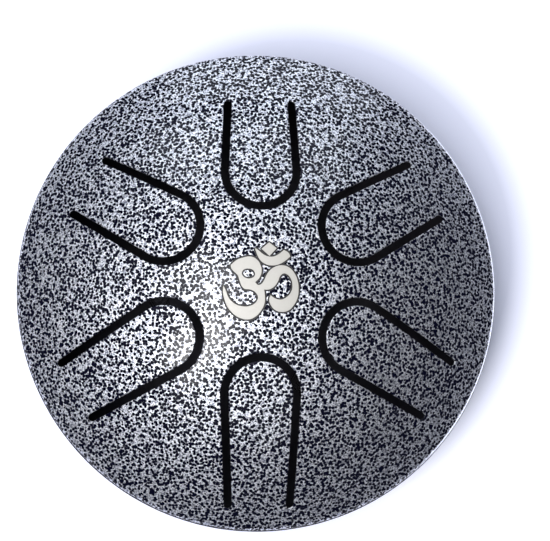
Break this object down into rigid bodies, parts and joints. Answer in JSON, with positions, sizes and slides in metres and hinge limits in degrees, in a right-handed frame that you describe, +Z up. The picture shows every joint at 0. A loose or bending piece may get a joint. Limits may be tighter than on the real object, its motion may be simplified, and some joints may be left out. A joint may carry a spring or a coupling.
{
  "type": "steel tongue drum",
  "caption": "Small steel tongue drum: a domed playing shell with cut tongues, welded at the rim to a bowl with a sound port and rubber feet.",
  "frame": {"origin": "on the drum's axis, at the plane that the three feet stand on", "axes": "+Z up through the top of the dome; +Y towards tongue 6, the shortest, and -Y towards tongue 1, the longest"},
  "size_m": [0.152, 0.152, 0.067],
  "materials": {
    "drum_coat": "glossy powder coat, fine silver speckle on black",
    "foot_rubber": "matt moulded rubber",
    "zinc_steel": "satin zinc plating"
  },
  "bodies": {
    "drum": {"top_shell": "drum_coat", "bottom_shell": "drum_coat", "rim_weld": "drum_coat", "rubber_foot_1": "foot_rubber", "rubber_foot_2": "foot_rubber", "rubber_foot_3": "foot_rubber", "foot_washer_1": "zinc_steel", "foot_washer_2": "zinc_steel", "foot_washer_3": "zinc_steel", "foot_screw_1": "zinc_steel", "foot_screw_2": "zinc_steel", "foot_screw_3": "zinc_steel", "nut_washer_1": "zinc_steel", "nut_washer_2": "zinc_steel", "nut_washer_3": "zinc_steel", "foot_nut_1": "zinc_steel", "foot_nut_2": "zinc_steel", "foot_nut_3": "zinc_steel"},
    "tongue_1": {"tongue_1": "drum_coat"},
    "tongue_2": {"tongue_2": "drum_coat"},
    "tongue_3": {"tongue_3": "drum_coat"},
    "tongue_4": {"tongue_4": "drum_coat"},
    "tongue_5": {"tongue_5": "drum_coat"},
    "tongue_6": {"tongue_6": "drum_coat"}
  },
  "joints": [
    {"name": "tongue_1_flex", "type": "hinge", "parent": "drum", "child": "tongue_1", "pos_m": [0, -0.0672, 0.04819], "axis": [1, 0, 0], "range_deg": [-1, 1], "stiffness_Nm_per_rad": 37.3},
    {"name": "tongue_2_flex", "type": "hinge", "parent": "drum", "child": "tongue_2", "pos_m": [-0.05603, -0.03235, 0.04961], "axis": [0.5, -0.866, 0], "range_deg": [-1, 1], "stiffness_Nm_per_rad": 39.8},
    {"name": "tongue_3_flex", "type": "hinge", "parent": "drum", "child": "tongue_3", "pos_m": [0.05508, -0.0318, 0.05022], "axis": [0.5, 0.866, 0], "range_deg": [-1, 1], "stiffness_Nm_per_rad": 41},
    {"name": "tongue_4_flex", "type": "hinge", "parent": "drum", "child": "tongue_4", "pos_m": [-0.05283, 0.0305, 0.0516], "axis": [-0.5, -0.866, 0], "range_deg": [-1, 1], "stiffness_Nm_per_rad": 44.2},
    {"name": "tongue_5_flex", "type": "hinge", "parent": "drum", "child": "tongue_5", "pos_m": [0.05162, 0.0298, 0.05231], "axis": [-0.5, 0.866, 0], "range_deg": [-1, 1], "stiffness_Nm_per_rad": 46.1},
    {"name": "tongue_6_flex", "type": "hinge", "parent": "drum", "child": "tongue_6", "pos_m": [0, 0.057, 0.05357], "axis": [-1, 0, 0], "range_deg": [-1, 1], "stiffness_Nm_per_rad": 50.1}
  ]
}
